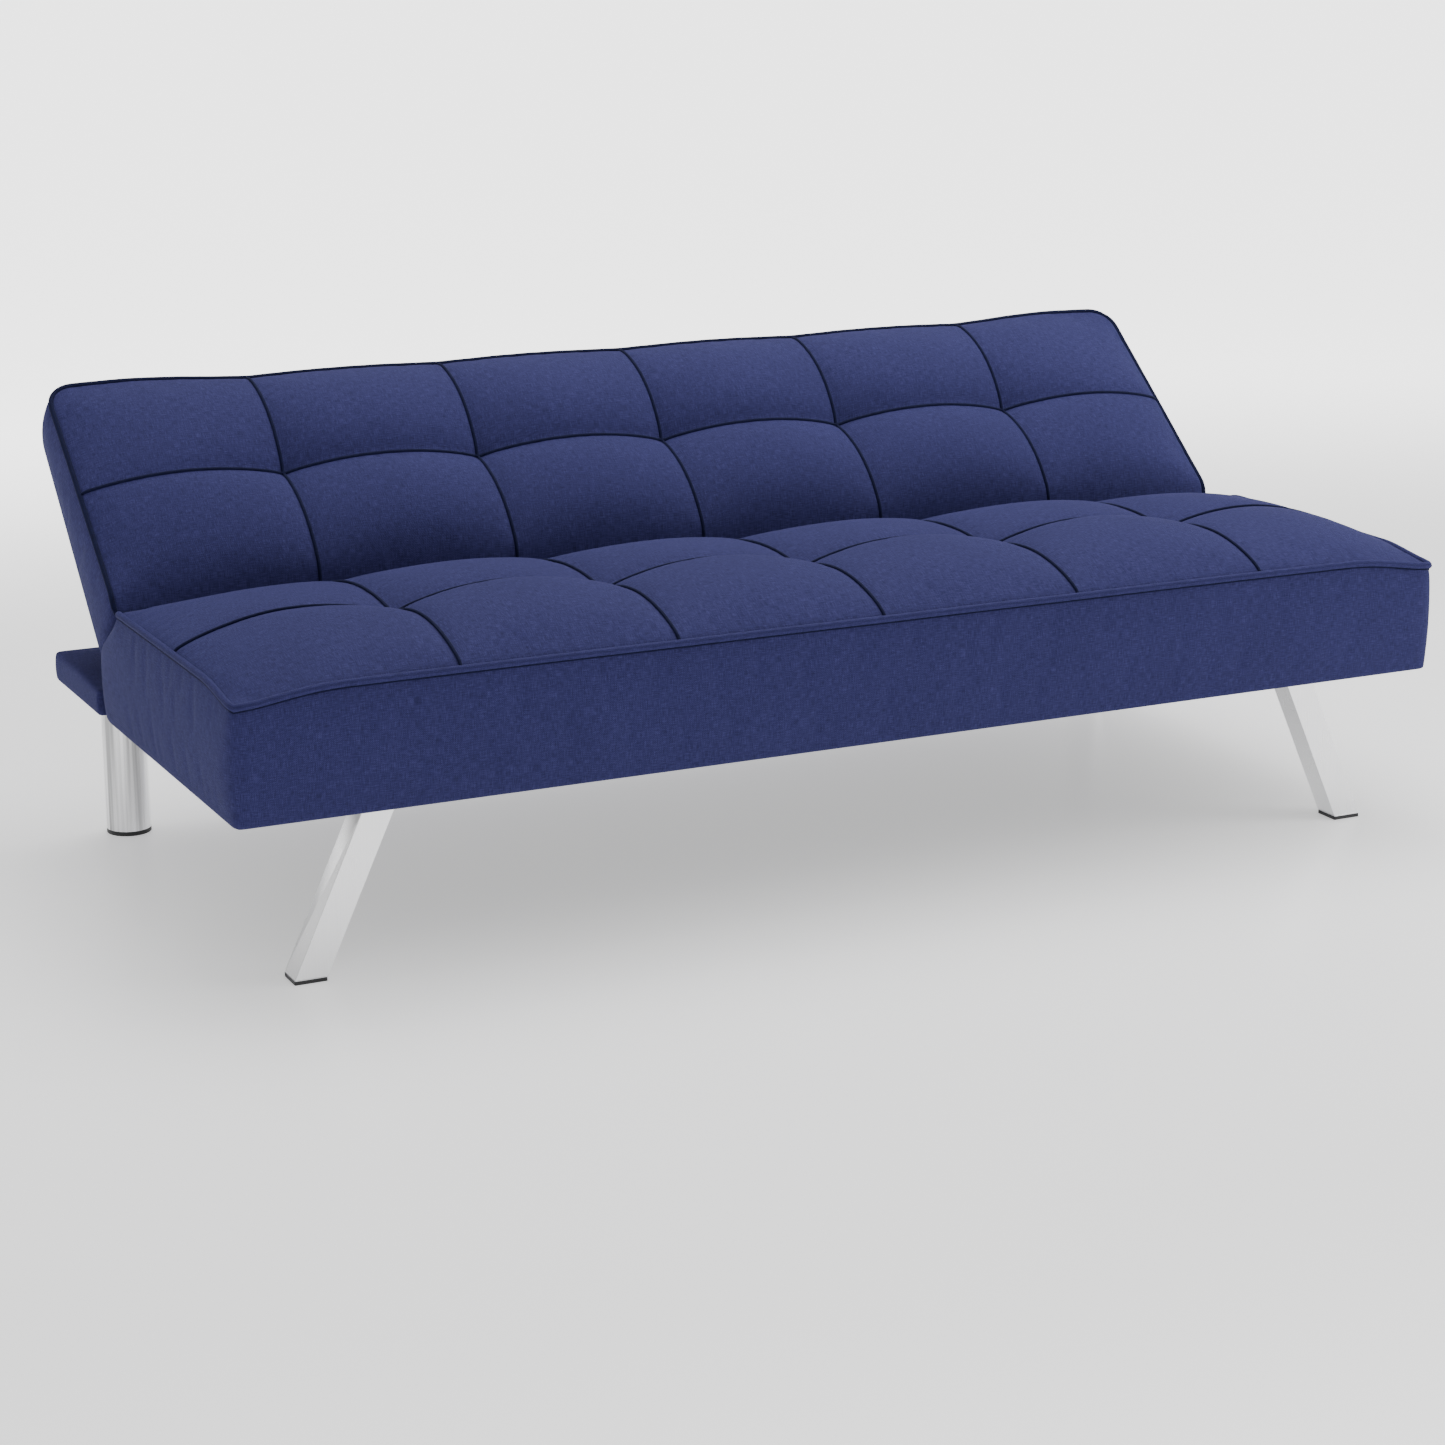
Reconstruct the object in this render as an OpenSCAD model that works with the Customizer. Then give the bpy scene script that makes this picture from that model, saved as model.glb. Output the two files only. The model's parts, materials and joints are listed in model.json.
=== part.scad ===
// Futon sofa bed: a sprung, tufted seat on four steel legs, with a back that clicks down flat.
// +X runs along the seat, the front faces -Y and Z is up from the floor.

/* [Seat] */
// Length of the seat from end to end
seat_len = 1679; // [1600:1:1800]
// Depth of the seat from front to rear
seat_depth = 554; // [545:1:600]
// Height of the welt seam above the floor
seat_height = 353; // [345:1:400]
// Thickness of the seat below the welt seam
seat_thick = 145; // [140:1:155]
// Rise of the seat padding above the welt seam
seat_crown = 48; // [30:1:55]
// Radius of the welt
welt_r = 3.2; // [2.5:0.1:4]

/* [Back] */
// How much shorter the back is than the seat at each end
back_inset = 11; // [8:1:14]
// Length of the back from its lower edge to its upper edge
back_len = 379; // [360:1:400]
// Thickness of the back at its lower edge
back_thick = 106; // [100:1:107]
// Thickness of the back near its upper edge
back_top_thick = 72; // [68:1:76]
// Rise of the back padding above its piping
back_crown = 30; // [20:1:34]
// Radius of the back's two upper corners
back_corner_r = 38; // [30:1:50]
// Lean of the back from upright in the lounge position
rest_lean = 51; // [49:1:53]

/* [Hinge] */
// Height of the welt seam above the hinge pin
hinge_drop = 73; // [72:1:75]
// Distance from the hinge pin to the back's lower edge
hinge_reach = 33; // [32:1:35]
// Distance from the hinge pin to the rear of the seat
hinge_setback = 29; // [27:1:29]
// Radius of the hinge pin
hinge_pin_r = 6; // [5:0.5:7]
// Running clearance round each pin, on the radius
pin_clearance = 0.06; // [0.04:0.01:0.08]

/* [Platform] */
// Depth of the low platform behind the seat
platform_depth = 211; // [205:1:230]
// Thickness of the platform
platform_thick = 34.5; // [33:0.5:35]

/* [Legs] */
// Width of the front leg tube along the seat
front_tube_w = 40.5; // [36:0.5:45]
// Depth of the front leg tube
front_tube_d = 38; // [34:0.5:42]
// Distance from the seat's end to the outer side of the front foot
front_foot_inset = 75; // [60:1:90]
// Distance that the front leg leans in from foot to top
front_leg_splay = 91; // [70:1:110]
// Outer diameter of the rear leg tube
rear_tube_d = 59.5; // [50:0.5:62]
// Distance from the seat's end to the middle of the rear leg
rear_leg_inset = 75.5; // [70:0.5:85]

/* [Hidden] */
$fn = 64;

// Left and right are as seen from in front
left = -1;
right = 1;
far = 2000;
gap = 0.2;

// Seat, measured from its front face and from the floor
seat_half = seat_len / 2;
under = seat_height - seat_thick;
cover_t = 1.5;
side_pad = 14;
frame_half = seat_half - side_pad;
end_rail_t = 24;
rail_base = under + 2;
rail_h = 40;
end_rail_h = 60;
rail_top = rail_base + rail_h;
front_rail_d = 70;
rear_rail_y = seat_depth - 154;
rear_rail_d = 50;
frame_rear_y = seat_depth - 9;
inner_half = frame_half - end_rail_t;
welt_y = seat_depth - 104;

// Springs
spring_wire = 3.6;
spring_w = 44;
spring_turns = 17;
spring_count = 6;
spring_front_y = side_pad + front_rail_d / 2;
spring_rear_y = rear_rail_y + rear_rail_d / 2;
spring_pitch = (spring_rear_y - spring_front_y) / spring_turns;
spring_z = rail_top + 1.6;

// Hinge
pivot_y = seat_depth - hinge_setback;
pivot_z = seat_height - hinge_drop;
plate_t = 4;
arm_gap = 3.5;
plate_x = inner_half - plate_t;
arm_x = plate_x - arm_gap - plate_t;
disc_r = 30;
notch_deep = 4.7;
notch_leans = [0, 29, -39];
pawl_len = 24;
pawl_lean = 20;
pawl_free = 1.5;
pawl_pin_r = 4;
pawl_y = pivot_y - (disc_r + pawl_free) * cos(pawl_lean) + pawl_len * sin(pawl_lean);
pawl_z = pivot_z - (disc_r + pawl_free) * sin(pawl_lean) - pawl_len * cos(pawl_lean);
seat_bolts = [[-66, -24], [-50, -36], [12, -36]];
arm_bolts = [[0, 95], [-6, 130]];

// Back, measured from the hinge pin: y to the rear of it, z up along the back
back_half = seat_half - back_inset;
back_front = -hinge_drop;
back_pad = 12;
back_frame_half = back_half - back_pad;
back_frame_z0 = hinge_reach + 12;
back_frame_z1 = hinge_reach + back_len - 40;
back_rail_h = 32;
stile_t = back_frame_half - arm_x - plate_t;
strap_w = 50;
strap_t = 1.6;
strap_xs = [-0.5, -0.17, 0.17, 0.5] * seat_len;
stile_foot = [back_front + back_thick - 48, back_front + back_thick - 8];
stile_head = [back_front + back_top_thick - 31, back_front + back_top_thick - 5];

// Platform
platform_z = under + platform_thick;
platform_rear_y = seat_depth + platform_depth;
platform_skin = 3;
platform_rail_h = 25;
platform_rail_w = 60;
platform_rear_rail_d = 80;
platform_rail_y = platform_rear_y - platform_skin - 2 - platform_rear_rail_d;

// Legs
foot_h = 5;
rear_foot_h = 6;
leg_plate_t = 4;
leg_top = under - 0.1 - leg_plate_t;
tube_wall = 2;
front_leg_y = 35;
front_foot_x = seat_half - front_foot_inset - front_tube_w / 2;
front_leg_x = front_foot_x - front_leg_splay;
front_plate = [78, 62];
front_screws = [30, 24];
rear_leg_x = seat_half - rear_leg_inset;
rear_leg_y = platform_rear_y - 45;
rear_plate = [84, 84];
rear_screws = [34, 34];
screw_r = 2.2;
screw_len = 22;
screw_head_r = 4;
screw_head_h = 2.5;

// The seat's front face stands half the resting depth in front of the origin
function seat_point(p) = [
    pivot_y + p[0] * cos(rest_lean) + p[1] * sin(rest_lean),
    pivot_z - p[0] * sin(rest_lean) + p[1] * cos(rest_lean),
];
rest_depth = max([for (p = back_side(0)) seat_point(p)[0]]);
front_y = -rest_depth / 2;

// Side outline of the seat padding, drawn in by t
function seat_side(t, low) = [
    [t, low],
    [t, seat_height - t / 2],
    [45, seat_height + 0.66 * seat_crown - t],
    [130, seat_height + seat_crown - t],
    [seat_depth - 210, seat_height + 0.92 * seat_crown - t],
    [seat_depth - 132, seat_height + 0.6 * seat_crown - t],
    [seat_depth - 112 - t, seat_height + 6 - t],
    [seat_depth - 106 - t, seat_height - 30 - t],
    [seat_depth - 8 - t, seat_height - 60 - t],
    [seat_depth - t, seat_height - 68 - t],
    [seat_depth - t, low],
];

// End outline of the seat padding, drawn in by t
function seat_end(t, low) = [
    [t - seat_half, low],
    [t - seat_half, seat_height - t / 2],
    [45 - seat_half, seat_height + 0.66 * seat_crown - t],
    [120 - seat_half, seat_height + seat_crown - t],
    [seat_half - 120, seat_height + seat_crown - t],
    [seat_half - 45, seat_height + 0.66 * seat_crown - t],
    [seat_half - t, seat_height - t / 2],
    [seat_half - t, low],
];

// Side outline of the back padding, drawn in by t
function back_side(t) = [
    [back_front + 16, hinge_reach + t],
    [back_front + t, hinge_reach + 16],
    [back_front + t - 0.55 * back_crown, hinge_reach + 62],
    [back_front + t - back_crown, hinge_reach + 125],
    [back_front + t - back_crown, hinge_reach + back_len - 90],
    [back_front + t - 0.5 * back_crown, hinge_reach + back_len - 32],
    [back_front + t, hinge_reach + back_len - 7],
    [back_front + 16, hinge_reach + back_len - t],
    [back_front + 36 - t / 2, hinge_reach + back_len - 8 - t],
    [back_front + back_top_thick - t, hinge_reach + back_len - 34],
    [back_front + back_thick - t, hinge_reach + 20],
    [back_front + back_thick - 12, hinge_reach + t],
];

// Plan outline of the back padding, drawn in by t
function back_plan(t) = [
    [t - back_half, far],
    [t - back_half, back_front + t / 2],
    [45 - back_half, back_front - 0.66 * back_crown + t],
    [120 - back_half, back_front - back_crown + t],
    [back_half - 120, back_front - back_crown + t],
    [back_half - 45, back_front - 0.66 * back_crown + t],
    [back_half - t, back_front + t / 2],
    [back_half - t, far],
];

module at_seat() {
    translate([0, front_y, 0]) children();
}

module at_pivot() {
    translate([0, front_y + pivot_y, pivot_z]) children();
}

module at_pawl() {
    translate([0, front_y + pawl_y, pawl_z]) rotate([pawl_lean, 0, 0]) children();
}

module at_back() {
    at_pivot() rotate([-rest_lean, 0, 0]) children();
}

// A side view outline given as (y, z), carried along X from x0 to x1
module along_x(x0, x1) {
    translate([x0, 0, 0]) rotate([90, 0, 90]) linear_extrude(x1 - x0) children();
}

// A plate between two distances from the middle, on the left or the right
module on_side(side, x0, x1) {
    along_x(side > 0 ? x0 : -x1, side > 0 ? x1 : -x0) children();
}

// A box from corner a to corner b
module block(a, b) {
    translate(a) cube(b - a);
}

// A box on one side, from distance a[0] to distance b[0] from the middle
module side_block(side, a, b) {
    block([side > 0 ? a[0] : -b[0], a[1], a[2]], [side > 0 ? b[0] : -a[0], b[1], b[2]]);
}

// ---- Seat frame ----

module seat_front_rail() {
    color("burlywood") at_seat() difference() {
        block([-inner_half, side_pad, rail_base], [inner_half, side_pad + front_rail_d, rail_top]);
        leg_pilot_holes();
    }
}

module seat_rear_rail() {
    color("burlywood") at_seat()
        block([-inner_half, rear_rail_y, rail_base], [inner_half, rear_rail_y + rear_rail_d, rail_top]);
}

module seat_end_rail(side) {
    color("burlywood") difference() {
        at_seat()
            side_block(side, [inner_half, side_pad, rail_base],
                [frame_half, frame_rear_y, rail_base + end_rail_h]);
        hinge_seat_bolt_shanks(side, 3.1);
    }
}

module seat_centre_rail() {
    color("burlywood") at_seat()
        block([-20, side_pad + front_rail_d, rail_base], [20, rear_rail_y, rail_top]);
}

// ---- Springs ----

module spring_outline() {
    for (i = [0:spring_turns])
        translate([-spring_w / 2, i * spring_pitch - spring_wire / 2])
            square([spring_w, spring_wire]);
    for (i = [0:spring_turns - 1])
        translate([(i % 2 == 0 ? 1 : -1) * spring_w / 2, (i + 0.5) * spring_pitch])
            difference() {
                circle(r = (spring_pitch + spring_wire) / 2);
                circle(r = (spring_pitch - spring_wire) / 2);
                translate([(i % 2 == 0 ? -1 : 0) * spring_pitch, -spring_pitch])
                    square([spring_pitch, 2 * spring_pitch]);
            }
}

function spring_x(i) = (i - (spring_count + 1) / 2) * seat_len / spring_count;

module seat_spring(i) {
    color("gray") at_seat()
        translate([spring_x(i), spring_front_y, spring_z]) linear_extrude(spring_wire) spring_outline();
}

// A clip holds the end bar of a spring down on its rail
module spring_clip() {
    low = -1.6;
    high = spring_wire + 1.4;
    wall = spring_wire / 2 + gap;
    along_x(-15, 15)
        polygon([
            [-wall - 1.4, low], [9, low], [9, -gap], [-wall, -gap], [-wall, spring_wire + gap],
            [wall + 1, spring_wire + gap], [wall + 1, high], [-wall - 1.4, high],
        ]);
}

module spring_clips() {
    color("silver") at_seat() for (i = [1:spring_count]) {
        translate([spring_x(i), spring_front_y, spring_z]) spring_clip();
        translate([spring_x(i), spring_rear_y, spring_z]) mirror([0, 1, 0]) spring_clip();
    }
}

// ---- Seat padding and cover ----

module seat_block(t, low) {
    intersection() {
        along_x(-far, far) polygon(seat_side(t, low));
        rotate([90, 0, 0]) translate([0, 0, -far]) linear_extrude(2 * far) polygon(seat_end(t, low));
    }
}

// The welt follows the seat's top edge along both ends and the front
module seat_welt_run() {
    x = seat_half - welt_r;
    length = welt_y - welt_r;
    for (side = [left, right]) {
        translate([side * x, welt_r, seat_height]) rotate([-90, 0, 0]) cylinder(r = welt_r, h = length);
        translate([side * x, welt_r, seat_height]) sphere(r = welt_r);
    }
    translate([-x, welt_r, seat_height]) rotate([0, 90, 0]) cylinder(r = welt_r, h = 2 * x);
}

// The step in the padding and cover that the welt lies in
module seat_welt_rebate() {
    low = seat_height - welt_r - gap;
    reach = 2 * welt_r + gap;
    for (side = [left, right])
        side_block(side, [seat_half - reach, -1, low], [far, welt_y + gap, far]);
    block([-far, -far, low], [far, reach, far]);
}

// Room in the padding for each hinge: a low part round the pawl and an open part round the arm
module hinge_pockets() {
    for (side = [left, right]) {
        side_block(side, [arm_x - 9, pivot_y - 77, under + 0.5], [inner_half + gap, pivot_y - 22, pivot_z + 5]);
        side_block(side, [arm_x - 9, pivot_y - 33, under + 0.5], [inner_half + gap, seat_depth + 9, far]);
    }
}

// Room for the platform rails where they run in under the seat
module platform_rail_slots() {
    h = rail_base + platform_rail_h + 1;
    for (side = [left, right])
        side_block(side, [inner_half - platform_rail_w - 1, rear_rail_y, under - 1],
            [inner_half + 1, seat_depth + 9, h]);
    block([-platform_rail_w / 2 - 1, rear_rail_y, under - 1], [platform_rail_w / 2 + 1, seat_depth + 9, h]);
}

module seat_foam() {
    t = cover_t + gap;
    color("lightyellow") at_seat() difference() {
        seat_block(t, under + 1.4);
        block([-frame_half - gap, side_pad - gap, 0],
            [frame_half + gap, frame_rear_y + gap, spring_z + spring_wire + 2]);
        for (side = [left, right])
            side_block(side, [inner_half - gap, side_pad - gap, 0],
                [frame_half + gap, frame_rear_y + gap, rail_base + end_rail_h + gap]);
        seat_welt_rebate();
        hinge_pockets();
        platform_rail_slots();
    }
}

module seat_cover() {
    color("midnightblue") at_seat() difference() {
        seat_block(0, under);
        seat_block(cover_t, under - 1);
        seat_welt_rebate();
        hinge_pockets();
        platform_rail_slots();
    }
}

module seat_welt() {
    color("black") at_seat() seat_welt_run();
}

module dust_cover() {
    t = cover_t + gap;
    color("dimgray") at_seat() difference() {
        block([t - seat_half, t, under + 0.1], [seat_half - t, seat_depth - t, under + 1.1]);
        leg_pilot_holes();
    }
}

// ---- Platform ----

module platform_rear_rail() {
    x = seat_half - platform_skin - gap;
    color("burlywood") at_seat() difference() {
        block([-x, platform_rail_y, rail_base],
            [x, platform_rail_y + platform_rear_rail_d, rail_base + platform_rail_h]);
        leg_pilot_holes();
    }
}

module platform_side_rail(side) {
    color("burlywood") at_seat()
        side_block(side, [inner_half - platform_rail_w, rear_rail_y + rear_rail_d, rail_base],
            [inner_half, platform_rail_y, rail_base + platform_rail_h]);
}

module platform_centre_rail() {
    x = platform_rail_w / 2;
    color("burlywood") at_seat()
        block([-x, rear_rail_y + rear_rail_d, rail_base], [x, platform_rail_y, rail_base + platform_rail_h]);
}

module platform_panel() {
    x = seat_half - platform_skin - gap;
    z = rail_base + platform_rail_h;
    color("peru") at_seat()
        block([-x, seat_depth + 2, z], [x, platform_rear_y - platform_skin - gap, z + 3]);
}

// The cover wraps the platform on every side but the front, where it meets the seat
module platform_cover() {
    color("midnightblue") at_seat() difference() {
        block([-seat_half, seat_depth + 0.3, under], [seat_half, platform_rear_y, platform_z]);
        block([platform_skin - seat_half, seat_depth - 1, rail_base - gap],
            [seat_half - platform_skin, platform_rear_y - platform_skin, platform_z - 3.5]);
        leg_pilot_holes();
    }
}

// ---- Legs ----

// A leaning square tube: its side view moves in by the splay from foot to top
module front_leg(side) {
    foot = front_foot_x - front_tube_w / 2;
    top = front_leg_x - front_tube_w / 2;
    color("silver") at_seat()
        translate([0, front_leg_y, 0]) mirror([side > 0 ? 0 : 1, 0, 0]) difference() {
            lean_bar(foot, top, front_tube_w, 0, front_tube_d);
            lean_bar(foot + tube_wall, top + tube_wall, front_tube_w - 2 * tube_wall,
                tube_wall, front_tube_d - tube_wall);
        }
}

module lean_bar(foot, top, w, y0, y1) {
    translate([0, y1, 0]) rotate([90, 0, 0]) linear_extrude(y1 - y0)
        polygon([[foot, foot_h], [foot + w, foot_h], [top + w, leg_top], [top, leg_top]]);
}

module front_leg_plate(side) {
    color("silver") at_seat()
        translate([side * front_leg_x, front_leg_y + front_tube_d / 2, leg_top]) difference() {
            translate([-front_plate[0] / 2, -front_plate[1] / 2, 0])
                cube([front_plate[0], front_plate[1], leg_plate_t]);
            for (x = [-1, 1] * front_screws[0], y = [-1, 1] * front_screws[1])
                translate([x, y, -1]) cylinder(r = screw_r + gap, h = leg_plate_t + 2);
        }
}

// The foot cap has a plug that fills the end of the tube
module front_foot(side) {
    wall = tube_wall + gap;
    slope = front_leg_splay / (leg_top - foot_h);
    plug_h = 12;
    x0 = front_foot_x - front_tube_w / 2;
    color("black") at_seat()
        translate([0, front_leg_y, 0]) mirror([side > 0 ? 0 : 1, 0, 0]) {
            cube_foot = [front_tube_w, front_tube_d, foot_h];
            translate([x0, 0, 0]) cube(cube_foot);
            translate([0, front_tube_d - wall, 0]) rotate([90, 0, 0]) linear_extrude(front_tube_d - 2 * wall)
                polygon([
                    [x0 + wall, foot_h], [x0 + front_tube_w - wall, foot_h],
                    [x0 + front_tube_w - wall - slope * plug_h, foot_h + plug_h],
                    [x0 + wall - slope * plug_h, foot_h + plug_h],
                ]);
        }
}

module rear_leg(side) {
    h = leg_top - rear_foot_h;
    color("silver") at_seat() translate([side * rear_leg_x, rear_leg_y, rear_foot_h]) difference() {
        cylinder(d = rear_tube_d, h = h);
        translate([0, 0, -1]) cylinder(d = rear_tube_d - 2 * tube_wall, h = h + 2);
    }
}

module rear_leg_plate(side) {
    color("silver") at_seat() translate([side * rear_leg_x, rear_leg_y, leg_top]) difference() {
        translate([-rear_plate[0] / 2, -rear_plate[1] / 2, 0])
            cube([rear_plate[0], rear_plate[1], leg_plate_t]);
        for (x = [-1, 1] * rear_screws[0], y = [-1, 1] * rear_screws[1])
            translate([x, y, -1]) cylinder(r = screw_r + gap, h = leg_plate_t + 2);
    }
}

module rear_foot(side) {
    color("black") at_seat() translate([side * rear_leg_x, rear_leg_y, 0]) {
        cylinder(d = rear_tube_d, h = rear_foot_h);
        cylinder(d = rear_tube_d - 2 * tube_wall - 2 * gap, h = rear_foot_h + 14);
    }
}

// Puts its children at each leg screw, at the underside of the leg plate
module at_leg_screws() {
    for (side = [left, right]) {
        for (x = [-1, 1] * front_screws[0], y = [-1, 1] * front_screws[1])
            translate([side * front_leg_x + x, front_leg_y + front_tube_d / 2 + y, leg_top]) children();
        for (x = [-1, 1] * rear_screws[0], y = [-1, 1] * rear_screws[1])
            translate([side * rear_leg_x + x, rear_leg_y + y, leg_top]) children();
    }
}

module leg_pilot_holes() {
    at_leg_screws() cylinder(r = screw_r + 0.05, h = screw_len + 1);
}

module leg_screws() {
    color("silver") at_seat() at_leg_screws() {
        cylinder(r = screw_r, h = screw_len);
        translate([0, 0, -screw_head_h]) cylinder(r = screw_head_r, h = screw_head_h);
    }
}

// ---- Hinge, seat side ----

module hinge_seat_plate(side) {
    color("silver") difference() {
        at_pivot() on_side(side, plate_x, inner_half) {
            translate([-73, -43]) square([seat_bolts[2][0] + 81, 27]);
            polygon([[-22, -18], [18, -18], [16, 0], [-16, 0]]);
            circle(r = 16);
        }
        at_pivot() side_cylinder(side, plate_x - 1, inner_half + 1, hinge_pin_r + 0.02);
        translate([0, front_y + pawl_y, pawl_z])
            side_cylinder(side, plate_x - 1, inner_half + 1, pawl_pin_r + 0.02);
        hinge_seat_bolt_shanks(side, 3.2);
    }
}

// A cylinder along X on one side, from distance x0 to distance x1 from the middle
module side_cylinder(side, x0, x1, r) {
    translate([side > 0 ? x0 : -x1, 0, 0]) rotate([0, 90, 0]) cylinder(r = r, h = x1 - x0);
}

module hinge_seat_bolt_shanks(side, r) {
    at_pivot() for (p = seat_bolts)
        translate([0, p[0], p[1]]) side_cylinder(side, plate_x - gap, inner_half + 18, r);
}

// A shouldered pin: inner head, journal, shoulder against the seat plate, riveted end
module shoulder_pin(side, r) {
    side_cylinder(side, arm_x - 3.5, arm_x - gap, r * 1.6);
    side_cylinder(side, arm_x - gap, inner_half - gap, r);
    side_cylinder(side, arm_x + plate_t + gap, plate_x, r * 1.5);
}

module hinge_pins() {
    color("silver") at_pivot() for (side = [left, right]) shoulder_pin(side, hinge_pin_r);
}

module pawl_pins() {
    color("silver") for (side = [left, right])
        translate([0, front_y + pawl_y, pawl_z]) shoulder_pin(side, pawl_pin_r);
}

module hinge_seat_bolts() {
    color("silver") for (side = [left, right]) {
        hinge_seat_bolt_shanks(side, 3);
        at_pivot() for (p = seat_bolts)
            translate([0, p[0], p[1]]) side_cylinder(side, plate_x - 3, plate_x, 5);
    }
}

// The pawl stands just clear of the disc. Turned towards it, the nose drops in a notch.
module pawl(side) {
    color("gray") at_pawl() difference() {
        on_side(side, arm_x, arm_x + plate_t) {
            circle(r = 7);
            polygon([[0, 0], [0, pawl_len], [-5, pawl_len + 1], [-9, pawl_len - 8], [-7, 0]]);
        }
        side_cylinder(side, arm_x - 1, arm_x + plate_t + 1, pawl_pin_r + pin_clearance);
    }
}

module pawl_spring(side) {
    color("silver") at_pawl() on_side(side, arm_x + 1, plate_x)
        polygon([[-10.6, -7], [-9.6, -7], [-9.6, pawl_len - 10], [-10.6, pawl_len - 10]]);
}

// ---- Back frame ----

// Front and rear faces of the back's timber, z0 to z1 up the back
module stile_outline(z0, z1) {
    run = back_frame_z1 - back_frame_z0;
    a = (z0 - back_frame_z0) / run;
    b = (z1 - back_frame_z0) / run;
    polygon([
        [stile_foot[0] + a * (stile_head[0] - stile_foot[0]), z0],
        [stile_foot[1] + a * (stile_head[1] - stile_foot[1]), z0],
        [stile_foot[1] + b * (stile_head[1] - stile_foot[1]), z1],
        [stile_foot[0] + b * (stile_head[0] - stile_foot[0]), z1],
    ]);
}

module back_bottom_rail() {
    x = arm_x - gap;
    color("burlywood") at_back() along_x(-x, x) stile_outline(back_frame_z0, back_frame_z0 + back_rail_h);
}

module back_top_rail() {
    x = back_frame_half - stile_t;
    color("burlywood") at_back() along_x(-x, x) stile_outline(back_frame_z1 - back_rail_h, back_frame_z1);
}

module back_end_stile(side) {
    color("burlywood") at_back() difference() {
        on_side(side, back_frame_half - stile_t, back_frame_half) stile_outline(back_frame_z0, back_frame_z1);
        hinge_arm_bolt_shanks(side, 3.1);
    }
}

module back_centre_stile() {
    color("burlywood") at_back()
        along_x(-20, 20) stile_outline(back_frame_z0 + back_rail_h, back_frame_z1 - back_rail_h);
}

// Elastic straps cross the front of the frame from rail to rail
module back_strap(i) {
    z0 = back_frame_z0 + 3;
    z1 = back_frame_z1 - 3;
    fall = (stile_head[0] - stile_foot[0]) / (back_frame_z1 - back_frame_z0);
    y0 = stile_foot[0] + 3 * fall - gap;
    y1 = stile_head[0] - 3 * fall - gap;
    x = strap_xs[i - 1] * back_half / seat_half * 0.85;
    color("dimgray") at_back() along_x(x - strap_w / 2, x + strap_w / 2)
        polygon([[y0 - strap_t, z0], [y0, z0], [y1, z1], [y1 - strap_t, z1]]);
}

// ---- Back padding and cover ----

module back_block(t) {
    r = back_corner_r - t;
    x = back_half - back_corner_r;
    top = hinge_reach + back_len - back_corner_r;
    intersection() {
        along_x(-far, far) polygon(back_side(t));
        linear_extrude(far) polygon(back_plan(t));
        translate([0, far, 0]) rotate([90, 0, 0]) linear_extrude(2 * far) {
            translate([t - back_half, 0]) square([2 * (back_half - t), top]);
            translate([-x, 0]) square([2 * x, top + r]);
            for (side = [left, right]) translate([side * x, top]) circle(r = r);
        }
    }
}

// Piping round both ends and the top of the back's front
module back_welt_run(r) {
    inset = 5;
    bend = back_corner_r - inset;
    x = back_half - back_corner_r;
    z0 = hinge_reach + 20;
    z1 = hinge_reach + back_len - back_corner_r;
    translate([0, back_front + 3, 0]) {
        for (side = [left, right]) {
            translate([side * (x + bend), 0, z0]) cylinder(r = r, h = z1 - z0);
            translate([side * x, 0, z1]) rotate([90, 0, 0]) rotate([0, 0, side > 0 ? 0 : 90])
                rotate_extrude(angle = 90) translate([bend, 0]) circle(r = r);
        }
        translate([-x, 0, z1 + bend]) rotate([0, 90, 0]) cylinder(r = r, h = 2 * x);
    }
}

// Slots in the lower edge that the hinge arms pass through
module arm_slots() {
    for (side = [left, right])
        side_block(side, [arm_x - 2, -24, 0], [arm_x + plate_t + 2, 24, back_frame_z0 + 1]);
}

module back_foam() {
    side_gap = strap_t + 2 * gap;
    x = back_frame_half + gap;
    z0 = back_frame_z0 - gap;
    z1 = back_frame_z1 + gap;
    color("lightyellow") at_back() difference() {
        back_block(cover_t + gap);
        along_x(-x, x)
            polygon([[stile_foot[0] - side_gap, z0], [far, z0], [far, z1], [stile_head[0] - side_gap, z1]]);
        back_welt_run(welt_r + gap);
        arm_slots();
    }
}

module back_cover() {
    color("midnightblue") at_back() difference() {
        back_block(0);
        back_block(cover_t);
        back_welt_run(welt_r + gap);
        arm_slots();
    }
}

module back_welt() {
    color("black") at_back() back_welt_run(welt_r);
}

// ---- Hinge, back side ----

module hinge_arm_bolt_shanks(side, r) {
    for (p = arm_bolts)
        translate([0, p[0], p[1]]) side_cylinder(side, arm_x - gap, arm_x + plate_t + 16, r);
}

// The arm ends in a disc round the pin, with one notch for each position of the back
module hinge_arm(side) {
    color("silver") at_back() difference() {
        on_side(side, arm_x, arm_x + plate_t) difference() {
            union() {
                circle(r = disc_r);
                polygon([[-14, 0], [14, 0], [6, 140], [-18, 140]]);
                translate([-6, 140]) circle(r = 12);
            }
            for (lift = notch_leans)
                rotate(180 + pawl_lean + rest_lean - lift)
                    translate([disc_r - notch_deep, -4.5]) square([notch_deep + 3, 15]);
        }
        side_cylinder(side, arm_x - 1, arm_x + plate_t + 1, hinge_pin_r + pin_clearance);
        hinge_arm_bolt_shanks(side, 3.2);
    }
}

module hinge_arm_bolts() {
    color("silver") at_back() for (side = [left, right]) {
        hinge_arm_bolt_shanks(side, 3);
        for (p = arm_bolts)
            translate([0, p[0], p[1]]) side_cylinder(side, arm_x - 3, arm_x, 5);
    }
}

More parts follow.
